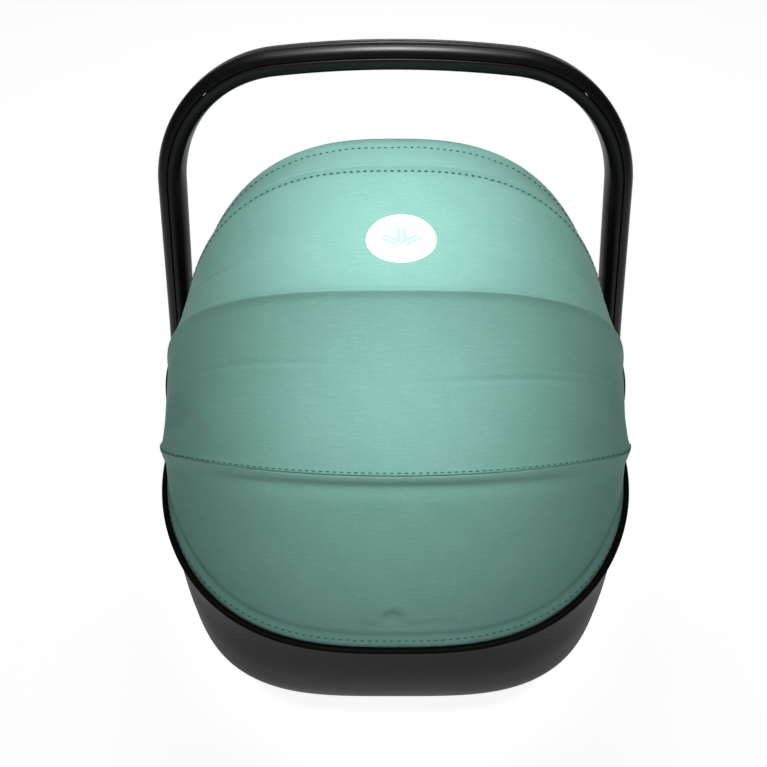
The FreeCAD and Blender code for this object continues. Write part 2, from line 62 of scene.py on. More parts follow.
class Wire:
    # one output socket; arithmetic on it adds the matching Math nodes
    def __init__(self, finish, socket):
        self.finish = finish
        self.socket = socket

    def calc(self, operation, *others):
        return self.finish.node("ShaderNodeMath", {"operation": operation}, *([self] + list(others)))

    def __add__(self, other):
        return self.calc("ADD", other)

    def __sub__(self, other):
        return self.calc("SUBTRACT", other)

    def __rsub__(self, other):
        return self.finish.node("ShaderNodeMath", {"operation": "SUBTRACT"}, other, self)

    def __mul__(self, other):
        return self.calc("MULTIPLY", other)

    def __truediv__(self, other):
        return self.calc("DIVIDE", other)

    def __pow__(self, other):
        return self.calc("POWER", other)

    def sine(self):
        return self.calc("SINE")

    def size(self):
        return self.calc("ABSOLUTE")

    def upper(self, other):
        return self.calc("MAXIMUM", other)

    __radd__ = __add__
    __rmul__ = __mul__

    def ramp(self, low, high, to=(0.0, 1.0)):
        # smooth step from to[0] at low to to[1] at high
        return self.finish.node("ShaderNodeMapRange", {"interpolation_type": "SMOOTHSTEP", "clamp": True},
                                self, low, high, to[0], to[1])


class Finish:
    # a material with one Principled shader; constant numbers are set on its own sockets
    def __init__(self, name, color, rough, **constants):
        self.material = bpy.data.materials.new(name)
        self.material.use_nodes = True
        self.tree = self.material.node_tree
        self.shader = self.tree.nodes["Principled BSDF"]
        self.shader.inputs["Base Color"].default_value = (*color, 1)
        self.shader.inputs["Roughness"].default_value = rough
        for key, value in constants.items():
            self.shader.inputs[key.replace("_", " ")].default_value = value

    def node(self, kind, settings=None, *values, output=0, sockets=None, **named):
        # settings come first; then the values or links of the sockets, by order, by number or by name
        made = self.tree.nodes.new(kind)
        for key, value in (settings or {}).items():
            setattr(made, key, value)
        given = {**dict(enumerate(values)), **(sockets or {})}
        given.update({key.replace("_", " "): value for key, value in named.items()})
        for key, value in given.items():
            if isinstance(value, Wire):
                self.tree.links.new(value.socket, made.inputs[key])
            else:
                made.inputs[key].default_value = value
        return Wire(self, made.outputs[output])

    def place(self):
        return self.node("ShaderNodeTexCoord", output="Object")

    def cloth(self):
        return self.node("ShaderNodeTexCoord", output="UV")

    def stretch(self, where, scale):
        return self.node("ShaderNodeMapping", None, Vector=where, Scale=scale)

    def noise(self, where, scale, detail=2.0, roughness=0.5):
        return self.node("ShaderNodeTexNoise", None, Vector=where, Scale=scale, Detail=detail,
                         Roughness=roughness)

    def parts(self, where):
        split = self.node("ShaderNodeSeparateXYZ", None, where)
        node = split.socket.node
        return [Wire(self, node.outputs[k]) for k in range(3)]

    def blend(self, amount, first, second):
        # colour mix: first at 0, second at 1
        ends = [value if isinstance(value, Wire) else (*value, 1) for value in (first, second)]
        return self.node("ShaderNodeMix", {"data_type": "RGBA"}, output=2,
                         sockets={0: amount, 6: ends[0], 7: ends[1]})

    def feed(self, **sockets):
        for key, value in sockets.items():
            self.tree.links.new(value.socket, self.shader.inputs[key.replace("_", " ")])
        return self

    def bump(self, height, strength, distance):
        relief = self.node("ShaderNodeBump", None, Height=height, Strength=strength, Distance=distance)
        self.feed(Normal=relief)
        return self


def wovenFinish(name, base, dark, light, pitch, slub=0.5, rough=0.85, sheen=0.1, relief=0.35):
    # heathered plain weave on UV metres: warp and weft are sines of u and v, slubs are stretched noise
    finish = Finish(name, base, rough, Sheen_Weight=sheen, Sheen_Roughness=0.45, Specular_IOR_Level=0.25)
    where = finish.cloth()
    across = finish.noise(finish.stretch(where, (60, 900, 1)), 1.0, 3.0, 0.6)
    along = finish.noise(finish.stretch(where, (1300, 200, 1)), 1.0, 3.0, 0.6)
    cloudy = finish.noise(where, 14.0, 2.0, 0.5)
    heather = (across * 0.6 + along * 0.4).ramp(0.36, 0.64)
    tone = finish.blend(heather * slub, base, dark)
    tone = finish.blend((along * 0.5 + across * 0.5).ramp(0.5, 0.68) * slub * 0.8, tone, light)
    tone = finish.blend((cloudy - 0.5).size() * 0.35, tone, light)
    finish.feed(Base_Color=tone)
    u, v, _ = finish.parts(where)
    turn = 2 * math.pi / pitch
    threads = (u * turn).sine() * (v * turn).sine() * 0.5 + across * 0.9 + along * 0.6
    return finish.bump(threads, relief, 0.00025)


def mouldedFinish(name, base, second, rough, grain=2600.0, relief=0.05, wear=0.12, **constants):
    # moulded plastic: fine grain, soft changes of gloss, slightly lighter where it is rubbed
    finish = Finish(name, base, rough, **constants)
    where = finish.place()
    cloudy = finish.noise(where, 9.0, 3.0, 0.6)
    fine = finish.noise(where, grain, 2.0, 0.5)
    rubbed = finish.noise(where, 60.0, 4.0, 0.7).ramp(0.62, 0.78) * wear
    finish.feed(Base_Color=finish.blend(rubbed + cloudy * 0.25, base, second),
                Roughness=(cloudy * 0.16 + fine * 0.10 + (rough - 0.12)))
    return finish.bump(fine, relief, 0.0002)


def metalFinish(name, base, rough):
    # zinc-plated steel: brushed along X with a faint mottled tone
    finish = Finish(name, base, rough, Metallic=1.0)
    where = finish.place()
    brushed = finish.noise(finish.stretch(where, (60, 1800, 1800)), 1.0, 3.0, 0.6)
    mottled = finish.noise(where, 140.0, 2.0, 0.5)
    finish.feed(Base_Color=finish.blend(mottled * 0.5, base, tuple(c * 0.72 for c in base)),
                Roughness=brushed * 0.22 + (rough - 0.1))
    return finish.bump(brushed, 0.12, 0.0001)


def patchFinish(name, base, ink):
    # white printed patch with three leaves fanned from one stalk; leaves are ellipses in UV
    finish = Finish(name, base, 0.55, Specular_IOR_Level=0.3)
    where = finish.cloth()
    shown = None
    for turn, centre in ((0.0, (0.0, 0.14)), (0.95, (-0.30, -0.06)), (-0.95, (0.30, -0.06))):
        moved = finish.node("ShaderNodeMapping", {"vector_type": "TEXTURE"}, Vector=where,
                            Location=(centre[0], centre[1], 0), Rotation=(0, 0, turn))
        x, y, _ = finish.parts(moved)
        leaf = 1 - ((x / 0.15) ** 2 + (y / 0.36) ** 2).ramp(0.94, 1.02)
        vein = x.size().ramp(0.012, 0.022)
        leaf = leaf * vein
        shown = leaf if shown is None else shown.upper(leaf)
    fine = finish.noise(finish.place(), 2600.0, 2.0, 0.5)
    tone = finish.blend(fine * 0.18, base, tuple(c * 0.8 for c in base))
    finish.feed(Base_Color=finish.blend(shown, tone, ink))
    return finish.bump(fine, 0.15, 0.0002)


teal = (0.165, 0.345, 0.298)
tealDark = (0.07, 0.215, 0.175)
tealLight = (0.33, 0.52, 0.475)
finishes = {
    "canopy": wovenFinish("canopyCloth", teal, tealDark, tealLight, 0.0009),
    "thread": wovenFinish("canopyThread", (0.02, 0.15, 0.12), (0.01, 0.09, 0.07), (0.05, 0.22, 0.18),
                          0.0004),
    "cover": wovenFinish("coverCloth", (0.042, 0.046, 0.048), (0.016, 0.018, 0.02), (0.12, 0.13, 0.13),
                         0.0012, 0.8),
    "inlay": wovenFinish("inlayCloth", (0.10, 0.25, 0.21), (0.05, 0.16, 0.13), (0.20, 0.36, 0.32),
                         0.0011, 0.6),
    "webbing": wovenFinish("webbing", (0.022, 0.022, 0.024), (0.01, 0.01, 0.011), (0.06, 0.06, 0.062),
                           0.0022, 0.5, 0.6, 0.15, 0.9),
    "pad": wovenFinish("padCloth", (0.036, 0.04, 0.042), (0.014, 0.016, 0.017), (0.10, 0.11, 0.11),
                       0.0014, 0.8),
    "shell": mouldedFinish("shellPlastic", (0.0036, 0.0034, 0.0023), (0.0086, 0.0080, 0.0054), 0.48,
                            Specular_IOR_Level=0.05),
    "handle": mouldedFinish("handlePlastic", (0.003, 0.003, 0.0029), (0.010, 0.010, 0.0095), 0.36,
                            3200.0, 0.04, Specular_IOR_Level=0.30),
    "trim": mouldedFinish("trimPlastic", (0.017, 0.017, 0.018), (0.04, 0.04, 0.04), 0.5, 1800.0, 0.10),
    "gear": mouldedFinish("gearPlastic", (0.62, 0.61, 0.56), (0.48, 0.47, 0.43), 0.38),
    "guide": mouldedFinish("guidePlastic", (0.03, 0.14, 0.45), (0.06, 0.2, 0.55), 0.35),
    "red": mouldedFinish("redPlastic", (0.52, 0.012, 0.014), (0.62, 0.04, 0.04), 0.3),
    "rubber": mouldedFinish("footRubber", (0.014, 0.014, 0.015), (0.04, 0.04, 0.04), 0.72, 1500.0, 0.25),
    "bow": mouldedFinish("bowCoating", (0.02, 0.021, 0.021), (0.05, 0.05, 0.05), 0.42),
    "foam": mouldedFinish("beadFoam", (0.62, 0.62, 0.60), (0.75, 0.75, 0.73), 0.8, 260.0, 0.5),
    "steel": metalFinish("zincSteel", (0.62, 0.62, 0.60), 0.34),
    "patch": patchFinish("patchPrint", (0.84, 0.85, 0.83), (0.27, 0.56, 0.48)),
}
print("finishes ready")


# meshes from arrays

def gridPart(points, closed=False, poles=(False, False), uv=None):
    # rows by columns of points become quads; a pole closes the first or last row on its mean
    rows, cols = points.shape[:2]
    verts = points.reshape(-1, 3)
    c = np.arange(cols if closed else cols - 1)
    nextC = (c + 1) % cols
    r = np.arange(rows - 1)[:, None]
    near, far = r * cols, (r + 1) * cols
    quads = np.stack([near + c, near + nextC, far + nextC, far + c], -1).reshape(-1, 4)
    if uv is None:
        uv = np.zeros((rows, cols + 1, 2))
    elif uv.shape[1] == cols:
        uv = np.concatenate([uv, uv[:, :1]], 1)
    width = uv.shape[1]
    flat = uv.reshape(-1, 2)
    corner = np.stack([r * width + c, r * width + c + 1, (r + 1) * width + c + 1, (r + 1) * width + c], -1)
    faces = quads.tolist()
    faceUv = flat[corner.reshape(-1, 4)].reshape(-1, 2)
    loops = [faceUv]
    ends = ((0, poles[0], True), (rows - 1, poles[1], False))
    for row, wanted, first in ends:
        if wanted:
            verts = np.concatenate([verts, points[row].mean(0)[None]])
            top = len(verts) - 1
            ring = row * cols + c
            ringNext = row * cols + nextC
            fan = [ringNext, ring] if first else [ring, ringNext]
            faces += np.stack([fan[0], fan[1], np.full(len(c), top)], -1).tolist()
            middle = uv[row].mean(0)
            near = uv[row][c]
            far = uv[row][c + 1]
            pair = [far, near] if first else [near, far]
            loops.append(np.stack([pair[0], pair[1], np.broadcast_to(middle, near.shape)], 1).reshape(-1, 2))
    return {"verts": verts, "faces": faces, "uv": np.concatenate(loops)}


def joined(*parts):
    # several parts as one, with the face numbers moved along
    verts, faces, uv, start = [], [], [], 0
    for part in parts:
        verts.append(part["verts"])
        faces += [[k + start for k in face] for face in part["faces"]]
        uv.append(part["uv"])
        start += len(part["verts"])
    return {"verts": np.concatenate(verts), "faces": faces, "uv": np.concatenate(uv)}


def meshPiece(name, part, finish, away=None, sharp=None):
    # puts a part into an object; it is turned outwards by its volume, or away from a point
    mesh = bpy.data.meshes.new(name)
    mesh.from_pydata(part["verts"].tolist(), [], part["faces"])
    layer = mesh.uv_layers.new(name="UVMap")
    layer.data.foreach_set("uv", part["uv"].astype(np.float32).ravel())
    mesh.update()
    count = len(mesh.polygons)
    centre = np.empty(count * 3)
    normal = np.empty(count * 3)
    area = np.empty(count)
    mesh.polygons.foreach_get("center", centre)
    mesh.polygons.foreach_get("normal", normal)
    mesh.polygons.foreach_get("area", area)
    fromPoint = centre.reshape(-1, 3) - (part["verts"].mean(0) if away is None else np.array(away))
    if ((fromPoint * normal.reshape(-1, 3)).sum(1) * area).sum() < 0:
        mesh.flip_normals()
    mesh.polygons.foreach_set("use_smooth", np.ones(count, bool))
    if sharp:
        mesh.set_sharp_from_angle(angle=math.radians(sharp))
    mesh.materials.append(finishes[finish].material)
    piece = bpy.data.objects.new(name, mesh)
    bpy.context.scene.collection.objects.link(piece)
    return piece


def settle(piece, body, slot, *nodes):
    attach(piece, body)
    if nodes:
        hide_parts(*nodes)
    return piece


def unit(vectors):
    return vectors / np.maximum(np.linalg.norm(vectors, axis=-1, keepdims=True), 1e-12)


def tube(path, radius, sides=10, closedEnds=True):
    # a round section carried along a path; radius may change along it
    path = np.asarray(path, float)
    along = unit(np.gradient(path, axis=0))
    across = unit(np.cross(along, np.array([0.31, 0.17, 0.93])))
    up = np.cross(across, along)
    turn = np.linspace(0, 2 * np.pi, sides, endpoint=False)
    r = np.broadcast_to(np.asarray(radius, float), len(path))[:, None, None]
    spoke = np.cos(turn)[:, None] * across[:, None] + np.sin(turn)[:, None] * up[:, None]
    points = path[:, None] + r * spoke
    length = np.concatenate([[0], np.cumsum(np.linalg.norm(np.diff(path, axis=0), axis=1))])
    girth = np.linspace(0, 2 * np.pi * np.max(radius), sides + 1)
    uv = np.stack(np.broadcast_arrays(girth[None], length[:, None]), -1)
    return gridPart(points, True, (closedEnds, closedEnds), uv)


def turned(profile, centre, sides=64):
    # a profile of (x, radius) turned about the X axis through centre; both ends close on the axis
    profile = np.asarray(profile, float)
    turn = np.linspace(0, 2 * np.pi, sides, endpoint=False)
    x = np.broadcast_to(profile[:, 0, None], (len(profile), sides))
    y = profile[:, 1, None] * np.cos(turn)
    z = profile[:, 1, None] * np.sin(turn)
    return gridPart(np.stack([x, y, z], -1) + np.array([0, centre[1], centre[2]]), True, (True, True))


def softBlock(low, high, edge=0.22, rows=28, cols=48):
    # a box with rounded edges: a superellipsoid, each axis the signed power of a sine or cosine
    low, high = np.array(low, float), np.array(high, float)
    half, middle = (high - low) / 2, (high + low) / 2
    lift = np.linspace(-np.pi / 2, np.pi / 2, rows + 2)[1:-1, None]
    turn = np.linspace(0, 2 * np.pi, cols, endpoint=False)[None]

    def power(value):
        return np.sign(value) * np.abs(value) ** edge
    x = power(np.cos(lift)) * power(np.cos(turn))
    y = power(np.cos(lift)) * power(np.sin(turn))
    z = power(np.sin(lift)) * np.ones_like(turn)
    points = np.stack([x, y, z], -1) * half + middle
    uv = np.stack([points[..., 0], points[..., 1]], -1)
    return gridPart(points, True, (True, True), uv)


# the shell and everything that lies in it

shell = {
    "halfLength": 0.329, "halfWidth": 0.183, "lift": 0.018, "depth": 0.327, "wall": 0.0028,
    "footSquare": 2.3,
    # height, head reach, foot reach, middle, half width and steepness as shares, squareness at the head
    "slices": (
        (0.000, 0.220, 0.120, -0.050, 0.320, 0.12, 2.8),
        (0.080, 0.520, 0.415, -0.090, 0.570, 0.45, 3.0),
        (0.230, 0.760, 0.645, -0.180, 0.800, 0.68, 3.3),
        (0.413, 0.915, 0.815, -0.270, 0.930, 0.85, 3.5),
        (0.610, 0.985, 0.940, -0.350, 0.982, 0.96, 3.5),
        (0.734, 0.995, 0.980, -0.386, 0.995, 1.00, 3.1),
        (0.887, 0.988, 1.000, -0.386, 1.000, 1.00, 2.8),
        (1.020, 0.980, 1.010, -0.386, 0.998, 1.00, 2.8),
    ),
    # share of the half length, height above the hubs
    "rim": (
        (-1.060, 0.050), (-0.985, 0.057), (-0.850, 0.071), (-0.720, 0.079),
        (-0.570, 0.078), (-0.386, 0.062), (-0.240, 0.048), (-0.100, 0.039),
        (0.100, 0.032), (0.400, 0.027), (1.060, 0.025),
    ),
}


def smoothTable(knots, values, at):
    # Catmull-Rom curve through a table, values may have several columns
    knots, values = np.asarray(knots, float), np.asarray(values, float)
    slope = np.gradient(values, knots, axis=0)
    k = np.clip(np.searchsorted(knots, at) - 1, 0, len(knots) - 2)
    gap = (knots[k + 1] - knots[k])
    t = np.clip((at - knots[k]) / gap, 0, 1)
    if values.ndim > 1:
        gap, t = gap[..., None], t[..., None]
    a, b, c, d = values[k], values[k + 1], slope[k] * gap, slope[k + 1] * gap
    level = (2 * t ** 3 - 3 * t ** 2 + 1) * a + (t ** 3 - 2 * t ** 2 + t) * c
    return level + (3 * t ** 2 - 2 * t ** 3) * b + (t ** 3 - t ** 2) * d


sliceTable = np.array(shell["slices"])
rimTable = np.array(shell["rim"])


def rimHeight(y, drop=0.0):
    return smoothTable(rimTable[:, 0] * shell["halfLength"], rimTable[:, 1], y) + hub[2] - drop


def bowlSize(height, inset):
    # at a share of the depth: middle, half width, head and foot reach, head squareness and z
    columns = smoothTable(sliceTable[:, 0], sliceTable[:, 1:], height)
    head, foot, middle, width, steep, square = np.moveaxis(columns, -1, 0)
    steep = np.clip(steep, 0, 1)
    side = inset * steep
    z = shell["lift"] + height * shell["depth"] + inset * np.sqrt(1 - steep ** 2)
    middle = middle * shell["halfLength"]
    return (middle, width * shell["halfWidth"] - side, head * shell["halfLength"] + middle - side,
            foot * shell["halfLength"] - middle - side, square, z)


def bowlPoint(turn, height, inset):
    # superellipse |x/w|^n + |y/r|^n = 1 at each height, squarer towards the head
    middle, width, headReach, footReach, square, z = bowlSize(height, inset)
    back = np.sin(turn) < 0
    power = 2 / np.where(back, square, shell["footSquare"])
    reach = np.where(back, headReach, footReach)
    x = width * np.sign(np.cos(turn)) * np.abs(np.cos(turn)) ** power
    y = middle + reach * np.sign(np.sin(turn)) * np.abs(np.sin(turn)) ** power
    return np.stack(np.broadcast_arrays(x, y, z), -1)


def rimShare(turn, inset, drop):
    # the share of the depth at which the bowl meets the lowered rim, by repeated substitution
    height = np.full_like(turn, 0.9)
    for _ in range(8):
        y = bowlPoint(turn, height, inset)[..., 1]
        lowered = drop(y) if callable(drop) else drop
        height = (rimHeight(y) - lowered - shell["lift"]) / shell["depth"]
    return height


def evenTurn(count, inset=0.0):
    # turns spaced so that the points of the rim outline are evenly far apart
    fine = np.linspace(0, 2 * np.pi, 4001)
    path = bowlPoint(fine, np.full_like(fine, 0.85), inset)
    length = np.concatenate([[0], np.cumsum(np.linalg.norm(np.diff(path, axis=0), axis=1))])
    return np.interp(np.linspace(0, length[-1], count, endpoint=False), length, fine)


def bowlSkin(outer, inner, drop, lip, around=220, rows=46):
    # a wall between two insets, closed at the rim by a round lip that may stand outwards
    turn = evenTurn(around)
    top = rimShare(turn, outer, drop)
    share = np.linspace(0, 1, rows)[:, None] ** 0.9
    outside = bowlPoint(turn[None], share * top[None], outer)
    inside = bowlPoint(turn[None], share * top[None], inner)
    edgeOut, edgeIn = outside[-1], inside[-1]
    across = unit(edgeOut - edgeIn)
    middle = (edgeOut + edgeIn) / 2
    thick = np.linalg.norm(edgeOut - edgeIn, axis=-1, keepdims=True) / 2
    bend = np.linspace(0, np.pi, 11)[1:-1, None, None]
    swell = 1 + (lip - 1) * np.sin(bend) ** 0.6
    ring = middle + across * thick * swell * np.cos(bend) + np.array([0, 0, 1.0]) * thick * np.sin(bend)
    points = np.concatenate([outside, ring, inside[::-1]])
    girth = np.concatenate([[0], np.cumsum(np.linalg.norm(np.diff(edgeOut, axis=0), axis=1))])
    run = np.concatenate([[0], np.cumsum(np.linalg.norm(np.diff(points[:, 0], axis=0), axis=1))])
    girth = np.append(girth, girth[-1] + np.linalg.norm(edgeOut[0] - edgeOut[-1]))
    uv = np.stack(np.broadcast_arrays(girth[None], run[:, None]), -1)
    return gridPart(points, True, (True, True), uv)


def buildShell():
    piece = meshPiece("shellBody", bowlSkin(0.0, shell["wall"], 0.0, 1.35, 320, 60), "shell", sharp=50)
    settle(piece, "seat", "shell_plastic", "outer_shell")
    # the lip: a rolled bead round the rim, outside the wall
    turn = evenTurn(320)
    top = rimShare(turn, 0.0, 0.0)
    path = bowlPoint(turn, top, 0.0012) + np.array([0, 0, -0.0002])
    ring = np.concatenate([path, path[:2]])
    bead = tube(ring, 0.0023, 12, False)
    piece = meshPiece("shellLip", bead, "shell")
    settle(piece, "seat", "shell_plastic")


def coverDrop(y):
    # the cover stops lower at the head end, where the canopy goes in
    share = np.clip((y / shell["halfLength"] + 0.3) / 0.35, 0, 1)
    return 0.040 - 0.036 * share


def buildLining():
    piece = meshPiece("coverSkin", bowlSkin(0.0208, 0.0268, coverDrop, 1.1, 260, 50), "cover", sharp=60)
    settle(piece, "seat", "cover_fabric", "seat_cover")
    turn = evenTurn(300)
    top = rimShare(turn, 0.0238, lambda y: coverDrop(y) - 0.0025)
    path = bowlPoint(turn, top, 0.0238)
    piping = meshPiece("coverPiping", tube(np.concatenate([path, path[:2]]), 0.0019, 10, False), "inlay")
    settle(piping, "seat", "inlay_fabric")


print("bowl ready")


# canopy

canopy = {
    "halfWidth": 0.177, "cloth": 0.0012, "root": 0.014, "fine": 1600,
    # angle from the head end, reach, squareness across and upwards
    "middle": (84.0, 0.1695, 3.1, 3.8),
    "seam": (117.0, 0.2122, 2.75, 2.75),
    "front": (129.0, 0.2318, 2.65, 2.65),
    # angle, reach, crown radius, corner radius
    "rear": (39.5, 0.149, 0.300, 0.042),
}


def archCurve(base, reach, crown, corner, splay, root):
    # legs, corner arcs and a crown arc that meet tangentially, as (x, r) and the turn of the outward normal
    c, s = math.cos(splay), math.sin(splay)
    a = base - corner * c
    b = -corner * s - (reach - crown)
    m = b * c - a * s
    run = -m + math.sqrt(m * m - a * a - b * b + (crown - corner) ** 2)
    middle = np.array([a - s * run, c * run - corner * s])
    toward = middle - np.array([0, reach - crown])
    crownTurn = math.atan2(toward[0], toward[1])
    legTurn = math.pi / 2 - splay
    legs = np.linspace(root / c, run, 60)
    bend = np.linspace(legTurn, crownTurn, 90)[1:]
    top = np.linspace(crownTurn, 0, 80)[1:]
    x = np.concatenate([base - s * legs, middle[0] + corner * np.sin(bend), crown * np.sin(top)])
    r = np.concatenate([c * legs, middle[1] + corner * np.cos(bend), reach - crown + crown * np.cos(top)])
    turn = np.concatenate([np.full(60, legTurn), bend, top])
    whole = [np.concatenate([half, sign * half[-2::-1]]) for half, sign in ((x, -1), (r, 1), (turn, -1))]
    return tuple(whole)


def archTable(line):
    # a bow's line from the left root to the right: superellipse (x/a)^n + (r/b)^m = 1,
    # or straight legs and arcs
    if line == "rear":
        _, reach, crown, corner = canopy[line]
        x, r, _ = archCurve(canopy["halfWidth"], reach, crown, corner, 0, canopy["root"])
        x, r = x[::-1], r[::-1]
    else:
        _, reach, across, upwards = canopy[line]
        sweep = np.linspace(0, np.pi, canopy["fine"])
        x = -canopy["halfWidth"] * np.sign(np.cos(sweep)) * np.abs(np.cos(sweep)) ** (2 / across)
        r = reach * np.sin(sweep) ** (2 / upwards)
        keep = r >= canopy["root"]
        x, r = x[keep], r[keep]
    length = np.concatenate([[0], np.cumsum(np.hypot(np.diff(x), np.diff(r)))])
    return length / length[-1], x, r


archTables = {line: archTable(line) for line in ("rear", "middle", "seam", "front")}


def linePoint(line, s, inward=0.0):
    # a point of a canopy line at share s of its length; inward moves it off the cloth
    if line == "hem":
        return hemPoint(s, inward)
    share, x, r = archTables[line]
    angle = math.radians(canopy[line][0])
    px, pr = np.interp(s, share, x), np.interp(s, share, r)
    if inward:
        qx = np.interp(np.clip(s + 0.002, 0, 1), share, x) - np.interp(np.clip(s - 0.002, 0, 1), share, x)
        qr = np.interp(np.clip(s + 0.002, 0, 1), share, r) - np.interp(np.clip(s - 0.002, 0, 1), share, r)
        size = np.hypot(qx, qr)
        px, pr = px + inward * qr / size, pr - inward * qx / size
    return np.stack([px, pivot[1] - pr * math.cos(angle), pivot[2] + pr * math.sin(angle)], -1)


hemInset = 0.0046
hemTurnFine = np.linspace(np.pi, 2 * np.pi, 2001)
hemFine = bowlPoint(hemTurnFine, rimShare(hemTurnFine, hemInset, 0.0015), hemInset)
hemLength = np.concatenate([[0], np.cumsum(np.linalg.norm(np.diff(hemFine, axis=0), axis=1))])


def hemPoint(s, inward=0.0):
    # the hem runs just behind the shell's lip from one side round the head end to the other
    turn = np.interp(np.asarray(s) * hemLength[-1], hemLength, hemTurnFine)
    return bowlPoint(turn, rimShare(turn, hemInset, 0.0015), hemInset + inward)


def lineAngle(points):
    # angle of points about the canopy's pivot, from the head end
    return np.degrees(np.arctan2(points[..., 2] - pivot[2], pivot[1] - points[..., 1]))


panels = {
    "rear": {"low": "hem", "high": "rear", "sag": 0.0060, "power": 1.5},
    "upper": {"low": "rear", "high": "middle", "sag": 0.0125, "power": 0.95},
    "crown": {"low": "middle", "high": "seam", "sag": 0.0105, "power": 0.9},
    "brim": {"low": "seam", "high": "front", "sag": 0.0022, "power": 0.6},
}
# soft marks in the cloth: share across, share along, spread across and along, depth, slant
marks = {
    "rear": ((0.497, 0.16, 0.010, 0.035, -0.0045, 0.0), (0.488, 0.22, 0.016, 0.05, 0.0018, 0.6),
             (0.53, 0.12, 0.030, 0.02, -0.0012, 0.1), (0.47, 0.115, 0.020, 0.02, -0.0008, -0.1),
             (0.24, 0.42, 0.008, 0.03, -0.0016, 0.4), (0.62, 0.30, 0.05, 0.10, 0.0010, 0.2)),
    "upper": ((0.175, 0.34, 0.030, 0.16, -0.0060, 0.25), (0.235, 0.30, 0.020, 0.10, 0.0030, 0.5),
              (0.835, 0.36, 0.030, 0.16, -0.0050, -0.25), (0.775, 0.34, 0.020, 0.10, 0.0026, -0.5),
              (0.66, 0.52, 0.12, 0.018, -0.0006, 0.16), (0.30, 0.62, 0.12, 0.018, -0.0006, -0.10),
              (0.80, 0.62, 0.08, 0.016, -0.0007, 0.35)),
    "crown": ((0.27, 0.44, 0.10, 0.016, -0.0006, -0.45), (0.70, 0.47, 0.09, 0.016, -0.0006, 0.35),
              (0.14, 0.35, 0.035, 0.12, -0.0030, 0.3), (0.87, 0.35, 0.035, 0.14, -0.0030, -0.3)),
    "brim": (),
}


def panelPoint(name, s, t, lift=0.0):
    # straight lines between two bows, sagged by a power of 4t(1-t), with ridges over the bows and soft marks
    panel = panels[name]

    def ruled(a, b):
        return (1 - b)[..., None] * linePoint(panel["low"], a) + b[..., None] * linePoint(panel["high"], a)
    s, t = np.broadcast_arrays(np.asarray(s, float), np.asarray(t, float))
    point = ruled(s, t)
    step = 0.004
    goS = ruled(np.clip(s + step, 0, 1), t) - ruled(np.clip(s - step, 0, 1), t)
    goT = ruled(s, np.ones_like(t)) - ruled(s, np.zeros_like(t))
    normal = unit(np.cross(goT, goS))
    normal = normal * np.sign((normal * (point - (pivot + np.array([0, 0, -0.02])))).sum(-1, keepdims=True))
    gap = np.linalg.norm(goT, axis=-1)
    fade = np.clip(gap / 0.10, 0, 1) ** 1.2
    bulge = (4 * t * (1 - t)) ** panel["power"] * np.clip(1 - normal[..., 0] ** 2, 0, 1) ** 1.5
    offset = -panel["sag"] * bulge * fade
    width = 0.0035
    for edge in (t, 1 - t):
        near = edge * gap
        offset = offset + 0.0011 * np.exp(-(near / width) ** 2) * np.clip(fade * 2, 0, 1)
    if name == "brim":
        near = (1 - t) * gap
        offset = offset + 0.0016 * np.clip(1 - (near / 0.012) ** 4, 0, 1) * fade
        near = t * gap
        offset = offset + 0.0020 * np.exp(-((near - 0.003) / 0.004) ** 2) * fade
    if name == "rear":
        near = (1 - t) * gap
        side = 0.0065 + 0.006 * np.abs(2 * s - 1) ** 2
        offset = offset + 0.0030 * np.exp(-(near / side) ** 4) * fade
        offset = offset - 0.0020 * np.exp(-((near - side - 0.004) / 0.006) ** 2) * fade
        near = t * gap
        offset = offset + 0.0012 * np.exp(-((near - 0.0028) / 0.0024) ** 2)
        offset = offset - 0.0012 * np.exp(-((near - 0.0070) / 0.0022) ** 2)
    for across, along, wide, tall, depth, slant in marks[name]:
        ds, dt = s - across, t - along
        offset = offset + depth * np.exp(-(ds / wide) ** 2 - ((dt - slant * ds) / tall) ** 2)
    ripple = np.sin(s * 41 + 3 * np.sin(t * 5)) * np.sin(t * 9 + s * 13) + 0.6 * np.sin(s * 87 + t * 17)
    offset = offset + 0.00022 * ripple * bulge
    return point + normal * (offset + lift)[..., None]


def shares(along):
    # shares from bow to bow, closer together beside the bows
    spread = np.linspace(0, 1, along)
    return spread - 0.03 * np.sin(4 * np.pi * spread)


def panelGrid(name, across, along):
    s = np.linspace(0, 1, across)
    t = shares(along)
    points = panelPoint(name, s[None], t[:, None])
    stepU = np.linalg.norm(np.diff(points, axis=1), axis=2)
    stepV = np.linalg.norm(np.diff(points, axis=0), axis=2)
    u = np.concatenate([np.zeros((along, 1)), np.cumsum(stepU, 1)], 1)
    v = np.concatenate([np.zeros((1, across)), np.cumsum(stepV, 0)], 0)
    u = u - u[:, across // 2][:, None]
    v = np.broadcast_to(v[:, across // 2][:, None], u.shape)
    return points, np.stack([u, v], -1)


bends = {
    "rear": ("seat", "canopy_rear"), "upper": ("canopy_rear", "canopy_middle"),
    "crown": ("canopy_middle", "canopy_front"),
}


def bendWith(piece, name):
    # cloth between two bows: the piece's placement is baked into its points; the middle points of its two
    # bows are worked out but not used
    middle = [linePoint(panels[name][end], np.array([0.5]))[0] for end in ("low", "high")]
    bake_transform(piece)


def meshPoints(piece):
    flat = np.empty(len(piece.data.vertices) * 3, np.float32)
    piece.data.vertices.foreach_get("co", flat)
    return flat.reshape(-1, 3).astype(float)


